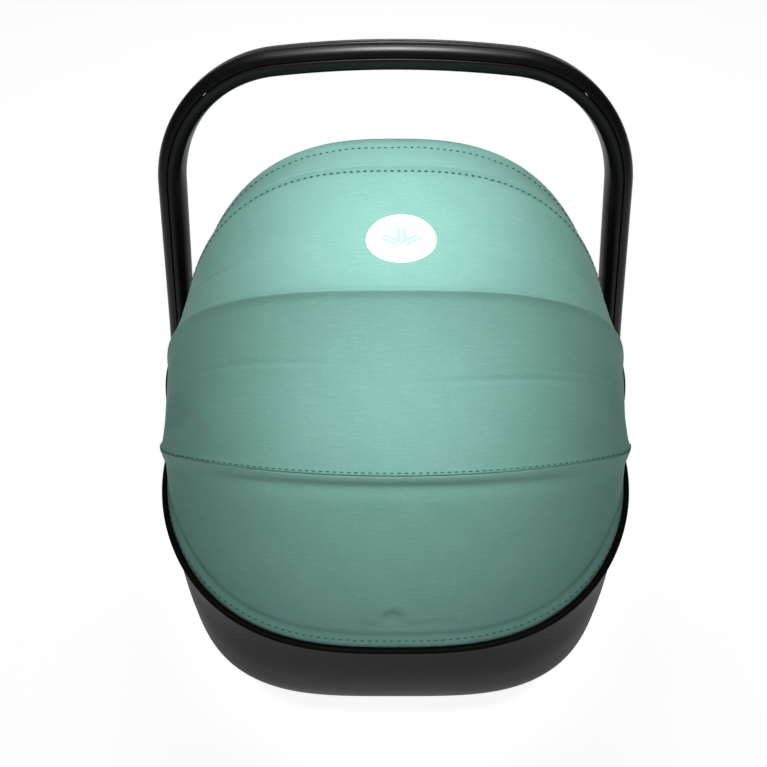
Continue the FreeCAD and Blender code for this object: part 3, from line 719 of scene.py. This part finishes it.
def buildPanels():
    sizes = {"rear": (300, 110), "upper": (300, 100), "crown": (300, 90), "brim": (300, 50)}
    nodes = {"rear": "canopy_rear_panel", "upper": "canopy_upper_panel", "crown": "canopy_crown_panel",
             "brim": "canopy_brim"}
    inside = tuple(pivot + np.array([0, 0.02, 0.02]))
    for name, (across, along) in sizes.items():
        points, uv = panelGrid(name, across, along)
        part = gridPart(points, uv=np.concatenate([uv, uv[:, -1:]], 1))
        piece = meshPiece("canopy" + name.capitalize(), part, "canopy", away=inside)
        thick = piece.modifiers.new("cloth", "SOLIDIFY")
        thick.thickness = canopy["cloth"] if name != "brim" else 1.6 * canopy["cloth"]
        thick.offset = -1
        if name == "brim":
            settle(piece, "canopy_front", "canopy_fabric", nodes[name])
        else:
            bendWith(piece, name)
            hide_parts(nodes[name])


def buildBows():
    # round wire bows under the cloth, with flat eyelets on the rivet
    bow = {"wire": 0.002, "gap": 0.0008, "step": 0.0044, "root": 0.005}
    inset = canopy["cloth"] + bow["gap"] + bow["wire"]
    for order, (line, node, body) in enumerate((("rear", "rear_bow", "canopy_rear"),
                                                ("middle", "middle_bow", "canopy_middle"),
                                                ("front", "front_bow", "canopy_front"))):
        s = np.linspace(0, 1, 160)
        path = linePoint(line, s, inset)
        shift = bow["step"] * order
        path[:, 0] *= 1 - shift / canopy["halfWidth"]
        base = canopy["halfWidth"] - inset - shift
        angle = math.radians(canopy[line][0])
        foot = np.array([-base, pivot[1] - bow["root"] * math.cos(angle),
                         pivot[2] + bow["root"] * math.sin(angle)])
        other = foot * np.array([-1, 1, 1])
        path = np.concatenate([foot[None], path, other[None]])
        parts = [tube(path, bow["wire"], 12)]
        for side in (-1, 1):
            x = side * base
            profile = [(x - 0.0018, 0.0031), (x - 0.0018, 0.0066), (x - 0.0012, 0.007), (x + 0.0012, 0.007),
                       (x + 0.0018, 0.0066), (x + 0.0018, 0.0031)]
            ring = np.array(profile + profile[:1])
            turn = np.linspace(0, 2 * np.pi, 33)[:-1]
            points = np.stack([np.broadcast_to(ring[:, 0, None], (7, 32)), ring[:, 1, None] * np.cos(turn),
                               ring[:, 1, None] * np.sin(turn)], -1) + np.array([0, pivot[1], pivot[2]])
            parts.append(gridPart(points, True))
        piece = meshPiece(node + "Wire", joined(*parts), "bow", sharp=40)
        settle(piece, body, "bow_wire", node)


stitch = {"from": 0.02, "to": 0.98, "lift": 0.0003, "length": 0.0026, "radius": 0.00042}


def stitchRow(name, t, count):
    # a row of stitches: short tubes along one line of a panel
    centre = np.linspace(stitch["from"], stitch["to"], count)
    line = panelPoint(name, np.linspace(stitch["from"], stitch["to"], 200), np.full(200, t))
    length = np.linalg.norm(np.diff(line, axis=0), axis=1).sum()
    half = stitch["length"] / 2 / length * (stitch["to"] - stitch["from"])
    steps = np.linspace(-1, 1, 5)
    s = centre[:, None] + steps * half
    rise = stitch["lift"] + stitch["radius"] * 0.3 - 0.0005 * steps ** 4
    points = panelPoint(name, s, np.full_like(s, t), 0.0)
    base = panelPoint(name, s, np.full_like(s, t), 1.0)
    normal = unit(base - points)
    path = points + normal * rise[None, :, None]
    along = unit(np.gradient(path, axis=1))
    side = unit(np.cross(along, normal))
    turn = np.linspace(0, 2 * np.pi, 6, endpoint=False)
    radius = stitch["radius"] * np.sqrt(np.clip(1 - 0.8 * steps ** 4, 0.1, 1))
    ring = path[:, :, None] + radius[None, :, None, None] * (
        np.cos(turn)[:, None] * side[:, :, None] + np.sin(turn)[:, None] * normal[:, :, None])
    verts = ring.reshape(-1, 3)
    k = np.arange(4)[:, None] * 6 + np.arange(6)
    nextK = np.arange(4)[:, None] * 6 + (np.arange(6) + 1) % 6
    one = np.stack([k, nextK, nextK + 6, k + 6], -1).reshape(-1, 4)
    faces = (one[None] + (np.arange(count) * 30)[:, None, None]).reshape(-1, 4)
    corners = [[0, 0], [0.001, 0], [0.001, 0.001], [0, 0.001]]
    return {"verts": verts, "faces": faces.tolist(), "uv": np.tile(corners, (len(faces), 1))}


def buildStitches():
    rows = {
        "seamStitches": ("crown", 0.965, 118, "canopy_front"),
        "rearBowStitches": ("upper", 0.012, 108, "canopy_rear"),
        "hemStitches": ("rear", 0.036, 120, "seat"),
        "brimStitches": ("brim", 0.74, 120, "canopy_front"),
    }
    for piece, (name, t, count, body) in rows.items():
        part = stitchRow(name, t, count)
        made = meshPiece(piece, part, "thread")
        if name in bends:
            bendWith(made, name)
        else:
            settle(made, body, "canopy_fabric")


def buildPatch():
    # oval patch that lies on the crown panel: rings of an ellipse in the panel's own shares
    patch = {"s": 0.507, "t": 0.46, "wide": 0.0243, "tall": 0.0229}
    line = panelPoint("crown", np.linspace(0, 1, 300), np.full(300, patch["t"]))
    across = np.linalg.norm(np.diff(line, axis=0), axis=1).sum()
    along = np.linalg.norm(panelPoint("crown", np.array([0.5]), np.array([1.0])) -
                           panelPoint("crown", np.array([0.5]), np.array([0.0])))
    ring = np.linspace(0, 1, 26)[1:, None]
    turn = np.linspace(0, 2 * np.pi, 96, endpoint=False)[None]
    s = patch["s"] + ring * np.cos(turn) * patch["wide"] / across
    t = patch["t"] + ring * np.sin(turn) * patch["tall"] / along
    lift = 0.0007 * np.clip((1 - ring) * 30, 0, 1) ** 0.5 * np.ones_like(turn)
    points = panelPoint("crown", s, t, lift)
    uv = np.stack(np.broadcast_arrays(ring * np.cos(turn), ring * np.sin(turn)), -1)
    part = gridPart(points, True, (True, False), uv)
    piece = meshPiece("ovalPatch", part, "patch", away=tuple(pivot))
    bendWith(piece, "crown")
    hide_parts("badge_patch")


print("canopy ready")


# handle

handle = {
    "base": 0.20945, "reach": 0.306, "lean": math.radians(15), "splay": math.radians(6.6), "crown": 0.900,
    "corner": 0.105, "thick": 0.018, "depth": 0.034, "edge": 0.0074, "root": 0.0375,
}


def handleFrame(count):
    h = handle
    x, r, turn = archCurve(h["base"], h["reach"], h["crown"], h["corner"], h["splay"], h["root"])
    length = np.concatenate([[0], np.cumsum(np.hypot(np.diff(x), np.diff(r)))])
    at = np.linspace(0, length[-1], count)
    x, r, turn = np.interp(at, length, x), np.interp(at, length, r), np.interp(at, length, turn)
    lean = handle["lean"]
    up = np.array([0, math.sin(lean), math.cos(lean)])
    path = np.stack([x, hub[1] + r * math.sin(lean), hub[2] + r * math.cos(lean)], -1)
    outward = np.sin(turn)[:, None] * np.array([1.0, 0, 0]) + np.cos(turn)[:, None] * up
    across = np.array([0, math.cos(lean), -math.sin(lean)])
    return path, outward, np.broadcast_to(across, path.shape), at


def halfSection(side, groove):
    # half of the rounded handle section from the parting line over the crest, then back inside
    crest, half, edge = handle["thick"] / 2, handle["depth"] / 2, handle["edge"]
    arc = np.linspace(0, np.pi / 2, 9)
    low = 0.00012
    u = [low, low + 0.0006, crest - edge]
    v = [-half + 0.0007, -half, -half]
    u += list(crest - edge + edge * np.sin(arc))[1:]
    v += list(-half + edge - edge * np.cos(arc))[1:]
    lineV = np.array([-1, -0.75, -0.62, -0.55, -0.48, -0.3, 0, 0.3, 0.48, 0.55, 0.62, 0.75, 1])
    lineV = lineV * (half - edge)
    dip = groove * np.exp(-((np.abs(lineV) / (half - edge) - 0.55) / 0.05) ** 2)
    swell = 0.0012 * (1 - (lineV / (half - edge)) ** 2)
    u += list(crest - dip[1:-1] + swell[1:-1] * 0.35)
    v += list(lineV[1:-1])
    u += list(crest - edge + edge * np.cos(arc))
    v += list(half - edge + edge * np.sin(arc))
    u += [low + 0.0006, low]
    v += [half, half - 0.0007]
    wall = 0.003
    u += [low, crest - wall, crest - wall, low]
    v += [half - wall, half - wall, wall - half, wall - half]
    return side * np.array(u), np.array(v)


def buildHandle():
    path, outward, across, at = handleFrame(360)
    foot = np.minimum(at, at[-1] - at)
    flare = 1 + 0.20 * np.exp(-(foot / 0.030) ** 2)
    halves = ((1, "handleOuter", "handle_outer_half", 0.0009), (-1, "handleInner", "handle_inner_half", 0.0))
    for side, name, node, groove in halves:
        u, v = halfSection(side, groove)
        sideways = across[:, None] * (v[None] * flare[:, None])[..., None]
        points = path[:, None] + outward[:, None] * u[None, :, None] + sideways
        girth = np.concatenate([[0], np.cumsum(np.hypot(np.diff(u), np.diff(v)))])
        uv = np.stack(np.broadcast_arrays(np.append(girth, girth[-1] + 0.003)[None], at[:, None]), -1)
        piece = meshPiece(name, gridPart(points, True, (True, True), uv), "handle", sharp=38)
        settle(piece, "handle", "handle_plastic", node)


def rounded(x, radius, edge, steps=6):
    # profile corner of a turned part: quarter circle that ends at x on the flat face
    bend = np.linspace(0, np.pi / 2, steps)
    step = math.copysign(edge, x)
    return [(x - step + step * math.sin(b), radius - edge + edge * math.cos(b)) for b in bend]


def buildHubs():
    for side, word in ((1, "right"), (-1, "left")):
        low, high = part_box("hub_cover_" + word)
        inner, outer = sorted((low.x, high.x), key=abs)
        radius = (high.z - low.z) / 2
        face = side * abs(outer)
        ring = [(side * abs(inner), 0.0155), (side * abs(inner), radius)] + rounded(face, radius, 0.0016)
        ring += [(face, 0.0200), (face - side * 0.0006, 0.0185)]
        ring += [(face - side * 0.0006, 0.0160), (face - side * 0.0016, 0.0152)]
        profile = np.array(ring + ring[:1])
        turn = np.linspace(0, 2 * np.pi, 96, endpoint=False)
        x = np.broadcast_to(profile[:, 0, None], (len(profile), 96))
        points = np.stack([x, profile[:, 1, None] * np.cos(turn), profile[:, 1, None] * np.sin(turn)], -1)
        points = points + np.array([0, hub[1], hub[2]])
        piece = meshPiece("hubCover" + word.capitalize(), gridPart(points, True), "trim", sharp=40)
        settle(piece, "handle", "handle_plastic", "hub_cover_" + word)
        low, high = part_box("handle_button_" + word)
        inner, outer = sorted((low.x, high.x), key=abs)
        face = side * abs(outer)
        profile = [(side * abs(inner), 0.0079), (face - side * 0.006, 0.0079), (face - side * 0.006, 0.0146)]
        profile += rounded(face - side * 0.0004, 0.0147, 0.0018)
        profile += [(face - side * 0.0004, 0.0105), (face - side * 0.0012, 0.0085)]
        profile += [(face - side * 0.0016, 0.004)]
        piece = meshPiece("handleButton" + word.capitalize(), turned(profile, hub), "trim", sharp=40)
        settle(piece, word + "_push", "trim_plastic", "handle_button_" + word)


print("handle ready")


# seat inside

def bowlFloor(x, y, inset):
    # height of the inset bowl above each (x, y), by halving the share of the depth
    low, high = np.zeros_like(x), np.ones_like(x)
    for _ in range(26):
        share = (low + high) / 2
        middle, width, headReach, footReach, headSquare, _ = bowlSize(share, inset)
        back = y < middle
        square = np.where(back, headSquare, shell["footSquare"])
        reach = np.where(back, headReach, footReach)
        full = np.abs(x / np.maximum(width, 1e-6)) ** square
        full = full + np.abs((y - middle) / np.maximum(reach, 1e-6)) ** square
        high = np.where(full <= 1, share, high)
        low = np.where(full <= 1, low, share)
    return bowlSize(high, inset)[5]


def lyingPad(centre, size, inset, thick, swing=0.0, rows=70, cols=50, edge=3.0, crown=0.0, channels=()):
    # a pad on the bowl: plan is a superellipse of power edge, thickness fades to the rim as a root,
    # with sewn channels
    v = np.linspace(-1, 1, rows)[:, None]
    u = np.linspace(-1, 1, cols)[None]
    side = (1 - np.abs(v) ** (2 * edge)) ** (1 / (2 * edge))
    x = u * np.maximum(side, 0.02) * size[0] / 2
    y = v * size[1] / 2 * np.ones_like(u)
    body = np.clip(1 - np.abs(u) ** 6, 0, 1) ** 0.5 * np.clip(1 - np.abs(v) ** 10, 0, 1) ** 0.5
    for place, width in channels:
        body = body * (1 - 0.35 * np.exp(-((v * size[1] / 2 - place) / width) ** 2))
    c, s = math.cos(swing), math.sin(swing)
    wx, wy = centre[0] + c * x - s * y, centre[1] + s * x + c * y
    floor = bowlFloor(wx, wy, inset)
    step = 0.002
    slopeX = (bowlFloor(wx + step, wy, inset) - bowlFloor(wx - step, wy, inset)) / (2 * step)
    slopeY = (bowlFloor(wx, wy + step, inset) - bowlFloor(wx, wy - step, inset)) / (2 * step)
    normal = unit(np.stack([-slopeX, -slopeY, np.ones_like(slopeX)], -1))
    bottom = np.stack([wx, wy, floor], -1)
    top = bottom + normal * (thick * body * (1 + crown * (1 - u ** 2)))[..., None]
    bottom = bottom + normal * 0.0003
    ringCount = 2 * cols
    points = np.concatenate([top, bottom[:, ::-1]], 1)
    run = v * size[1] / 2 * np.ones((1, ringCount + 1))
    girth = np.linspace(0, 2 * size[0], ringCount + 1)[None] * np.ones((rows, 1))
    return gridPart(points, True, (True, True), np.stack([girth, run], -1))


def puffed(piece, pressure, cap, frames=14, voxel=0.005):
    # cloth inflated from inside, on a remeshed copy; how far a point moves is capped
    bpy.context.view_layer.objects.active = piece
    for other in bpy.context.selected_objects:
        other.select_set(False)
    piece.select_set(True)
    remesh = piece.modifiers.new("even", "REMESH")
    remesh.mode = "VOXEL"
    remesh.voxel_size = voxel
    remesh.use_smooth_shade = True
    bpy.ops.object.modifier_apply(modifier="even")
    start = meshPoints(piece)
    cloth = piece.modifiers.new("fill", "CLOTH")
    cloth.settings.use_pressure = True
    cloth.settings.uniform_pressure_force = pressure
    cloth.settings.quality = 6
    cloth.settings.tension_stiffness = 25
    cloth.settings.bending_stiffness = 3
    cloth.settings.effector_weights.gravity = 0
    scene = bpy.context.scene
    for step in range(1, frames + 1):
        scene.frame_set(step)
    graph = bpy.context.evaluated_depsgraph_get()
    grown = piece.evaluated_get(graph)
    flat = np.empty(len(grown.data.vertices) * 3, np.float32)
    grown.data.vertices.foreach_get("co", flat)
    moved = flat.reshape(-1, 3) - start
    size = np.linalg.norm(moved, axis=1, keepdims=True)
    moved = moved * np.minimum(1, cap / np.maximum(size, 1e-9))
    piece.modifiers.remove(cloth)
    scene.frame_set(1)
    piece.data.vertices.foreach_set("co", (start + moved).astype(np.float32).ravel())
    piece.data.update()
    boxUv(piece)
    smooth = piece.modifiers.new("smooth", "SUBSURF")
    smooth.levels = smooth.render_levels = 1


def boxUv(piece):
    # UV in metres from the side each face looks to, so that the weave has its real size
    mesh = piece.data
    layer = mesh.uv_layers.get("UVMap") or mesh.uv_layers.new(name="UVMap")
    loops = np.empty(len(mesh.loops), np.int32)
    mesh.loops.foreach_get("vertex_index", loops)
    normals = np.empty(len(mesh.polygons) * 3)
    mesh.polygons.foreach_get("normal", normals)
    totals = np.empty(len(mesh.polygons), np.int32)
    mesh.polygons.foreach_get("loop_total", totals)
    main = np.repeat(np.abs(normals.reshape(-1, 3)).argmax(1), totals)
    co = meshPoints(piece)[loops]
    flat = np.where((main == 1)[:, None], co[:, [0, 2]], co[:, [0, 1]])
    uv = np.where((main == 0)[:, None], co[:, [1, 2]], flat)
    layer.data.foreach_set("uv", uv.astype(np.float32).ravel())
    mesh.polygons.foreach_set("use_smooth", np.ones(len(mesh.polygons), bool))


def buildInlay():
    part = lyingPad((0, -0.020), (0.226, 0.292), 0.0282, 0.0160, rows=90, cols=64, edge=2.0, crown=0.05,
                    channels=((-0.075, 0.004), (0.0, 0.004), (0.075, 0.004)))
    piece = meshPiece("inlayCushion", part, "inlay")
    puffed(piece, 3.0, 0.0015)
    settle(piece, "seat", "inlay_fabric", "inlay_cushion")


def restPoint(u, v, w):
    # headrest axes to the row frame: u across, v up the back, w towards the child
    tilt = math.radians(50)
    origin = np.array([0, -0.623 * shell["halfLength"], 0.165])
    up = np.array([0, -math.cos(tilt), math.sin(tilt)])
    out = np.array([0, math.sin(tilt), math.cos(tilt)])
    across = np.stack(np.broadcast_arrays(u, u * 0, u * 0), -1)
    return origin + across + v[..., None] * up + w[..., None] * out


def buildHeadrest():
    pad = {"half": 0.090, "low": -0.060, "high": 0.084, "thick": 0.020, "wing": 0.022}
    ring = np.linspace(0, 1, 40)[:, None]
    turn = np.linspace(0, 2 * np.pi, 120, endpoint=False)[None]
    middle, tall = (pad["low"] + pad["high"]) / 2, (pad["high"] - pad["low"]) / 2
    power = np.where(np.sin(turn) > 0, 0.85, 0.45)
    reachU = pad["half"] * np.sign(np.cos(turn)) * np.abs(np.cos(turn)) ** power
    reachV = tall * np.sign(np.sin(turn)) * np.abs(np.sin(turn)) ** power
    u, v = ring * reachU, middle + ring * reachV
    hollow = 1 - np.exp(-((u / 0.046) ** 2) - (np.clip(0.035 - v, None, 0) / 0.030) ** 2)
    front = pad["thick"] * np.clip(1 - ring ** 5, 0, 1) ** 0.5 * (0.55 + 0.45 * hollow)
    front = front + pad["wing"] * hollow * np.clip(1 - ring ** 6, 0, 1)
    top = restPoint(u, v, front)
    back = restPoint(u, v, np.zeros_like(u))
    points = np.concatenate([top, back[::-1][1:]])
    uv = np.stack([points[..., 0], points[..., 2]], -1)
    piece = meshPiece("headrestPad", gridPart(points, True, (False, False), uv), "inlay")
    mend(piece)
    puffed(piece, 4.0, 0.0025)
    settle(piece, "headrest", "inlay_fabric", "headrest_pad")


def mend(piece):
    # merges doubled points at poles and seams
    work = bmesh.new()
    work.from_mesh(piece.data)
    bmesh.ops.remove_doubles(work, verts=work.verts, dist=1e-5)
    bmesh.ops.recalc_face_normals(work, faces=work.faces)
    work.to_mesh(piece.data)
    work.free()
    piece.data.update()


def buildHarness():
    for side, word in ((1, "Right"), (-1, "Left")):
        name = word.lower()
        strap = lyingPad((side * 0.044, -0.070), (0.038, 0.160), 0.0468, 0.0018, side * 0.14, 60, 16, 8.0)
        piece = meshPiece("shoulderStrap" + word, strap, "webbing")
        settle(piece, "seat", "webbing", "shoulder_strap_" + name)
        hip = lyingPad((side * 0.066, 0.040), (0.072, 0.030), 0.0468, 0.0018, 0.0, 20, 40, 8.0)
        settle(meshPiece("hipStrap" + word, hip, "webbing"), "seat", "webbing", "hip_strap_" + name)
        pad = lyingPad((side * 0.044, -0.072), (0.050, 0.108), 0.0500, 0.0075, side * 0.14, 60, 30, 2.4, 0.12,
                       ((-0.027, 0.003), (0.0, 0.003), (0.027, 0.003)))
        piece = meshPiece("shoulderPad" + word, pad, "pad")
        puffed(piece, 3.0, 0.0010, 10, 0.003)
        settle(piece, "seat", "pad_fabric", "shoulder_pad_" + name)
        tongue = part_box("buckle_tongue_" + name)
        piece = meshPiece("buckleTongue" + word, softBlock(tongue[0], tongue[1], 0.16), "steel")
        settle(piece, "seat", "steel", "buckle_tongue_" + name)
    crotch = lyingPad((0, 0.072), (0.030, 0.056), 0.0468, 0.0018, 0.0, 30, 16, 8.0)
    settle(meshPiece("crotchStrap", crotch, "webbing"), "seat", "webbing", "crotch_strap")
    pad = lyingPad((0, 0.074), (0.042, 0.058), 0.0500, 0.0072, 0.0, 40, 30, 1.6, 0.1)
    piece = meshPiece("crotchPad", pad, "pad")
    puffed(piece, 3.0, 0.0010, 10, 0.003)
    settle(piece, "seat", "pad_fabric", "crotch_pad")
    strap = lyingPad((0, 0.158), (0.024, 0.044), 0.0280, 0.0018, 0.0, 30, 16, 8.0)
    settle(meshPiece("adjusterStrap", strap, "webbing"), "seat", "webbing", "adjuster_strap")
    low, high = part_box("buckle_button")
    button = meshPiece("buckleButton", softBlock(low, high, 0.3), "red")
    settle(button, "buckle_release", "red_plastic", "buckle_button")


# everything else keeps its CAD shape and gets its finish

kept = {
    "shell": ("base_skid_left", "base_skid_right", "hub_bracket_left", "hub_bracket_right"),
    "handle": ("handle_hub_left", "handle_hub_right"),
    "trim": ("release_lever", "headrest_board", "adjuster_housing", "adjuster_button", "buckle_body",
             "canopy_bracket_left", "canopy_bracket_right"),
    "gear": ("lock_gear_left", "lock_gear_right"),
    "guide": ("belt_guide_left", "belt_guide_right"),
    "foam": ("foam_liner",),
    "rubber": ("rubber_feet",),
    "webbing": ("hem_elastic",),
    "steel": ("latch_bars", "pivot_bolt_left", "pivot_bolt_right", "canopy_rivet_left", "canopy_rivet_right",
              "lever_pin", "base_screws", "strap_yoke", "button_spring_left", "button_spring_right"),
}


def finishKept():
    for finish, nodes in kept.items():
        for node in nodes:
            slots = frame["nodes"][node].data.materials
            slots.clear()
            slots.append(finishes[finish].material)


# stage

def buildStage():
    size = 6.0
    corners = np.array([[[-size, -size, 0], [size, -size, 0]], [[-size, size, 0], [size, size, 0]]], float)
    mesh = bpy.data.meshes.new("floor")
    mesh.from_pydata(corners.reshape(-1, 3).tolist(), [], [[0, 1, 3, 2]])
    floorFinish = Finish("paleFloor", (0.92, 0.92, 0.915), 0.9, Specular_IOR_Level=0.1)
    mottle = floorFinish.noise(floorFinish.place(), 3.0, 2.0, 0.5)
    floorFinish.feed(Base_Color=floorFinish.blend(mottle * 0.2, (0.72, 0.72, 0.715), (0.68, 0.68, 0.68)))
    floorFinish.shader.inputs["Emission Color"].default_value = (1, 1, 1, 1)
    floorFinish.shader.inputs["Emission Strength"].default_value = 0.90
    mesh.materials.append(floorFinish.material)
    floor = bpy.data.objects.new("floor", mesh)
    bpy.context.scene.collection.objects.link(floor)

    def lamp(name, place, aim, size, power, color=(1, 1, 1)):
        light = bpy.data.lights.new(name, "AREA")
        light.shape = "RECTANGLE"
        light.size, light.size_y = size
        light.energy = power
        light.color = color
        made = bpy.data.objects.new(name, light)
        made.location = place
        made.rotation_euler = (Vector(aim) - Vector(place)).to_track_quat("-Z", "Y").to_euler()
        bpy.context.scene.collection.objects.link(made)
    lamp("backLight", (0.0, 0.9, 1.9), (0, 0, 0.5), (0.9, 0.5), 5)
    # soft round pools of light along the middle of the canopy: place, aim, power, cone in degrees
    pools = {
        "crownPool": ((0.0, -0.22, 1.60), (0, -0.07, 0.46), 84, 17.5),
        "rearPool": ((0.0, -0.52, 1.52), (0, -0.21, 0.37), 60, 18),
        "handlePool": ((0.0, 0.10, 1.75), (0, 0.04, 0.55), 55, 18),
    }
    for name, (place, aim, power, cone) in pools.items():
        pool = bpy.data.lights.new(name, "SPOT")
        pool.energy = power
        pool.shadow_soft_size = 0.10
        pool.spot_size = math.radians(cone)
        pool.spot_blend = 1.0
        made = bpy.data.objects.new(name, pool)
        made.location = place
        made.rotation_euler = (Vector(aim) - Vector(place)).to_track_quat("-Z", "Y").to_euler()
        bpy.context.scene.collection.objects.link(made)
    bpy.context.scene.view_settings.view_transform = "Standard"
    world = bpy.data.worlds.new("studio")
    bpy.context.scene.world = world
    world.use_nodes = True
    world.node_tree.nodes["Background"].inputs["Color"].default_value = (1, 1, 1, 1)
    world.node_tree.nodes["Background"].inputs["Strength"].default_value = 0.05


def buildCamera():
    view = {"elevation": math.radians(50), "distance": 0.690, "aimRise": 0.0049,
            "sensor": 36, "lens": 32.367145, "shift": -0.0156454}
    camera = bpy.data.cameras.new("camera")
    camera.sensor_width = view["sensor"]
    camera.lens = view["lens"]
    camera.shift_x = view["shift"]
    made = bpy.data.objects.new("camera", camera)
    ahead = np.array([0, math.cos(view["elevation"]), -math.sin(view["elevation"])])
    target = hub + np.array([0, 0, view["aimRise"]])
    made.location = target - view["distance"] * ahead
    made.rotation_euler = Vector(ahead).to_track_quat("-Z", "Y").to_euler()
    bpy.context.scene.collection.objects.link(made)
    bpy.context.scene.camera = made


buildCamera()
buildShell()
buildLining()
print("shell built")
buildPanels()
buildBows()
buildStitches()
buildPatch()
print("canopy built")
buildHandle()
buildHubs()
print("handle built")
buildInlay()
buildHeadrest()
buildHarness()
print("seat built")
finishKept()
buildStage()
bpy.context.view_layer.update()
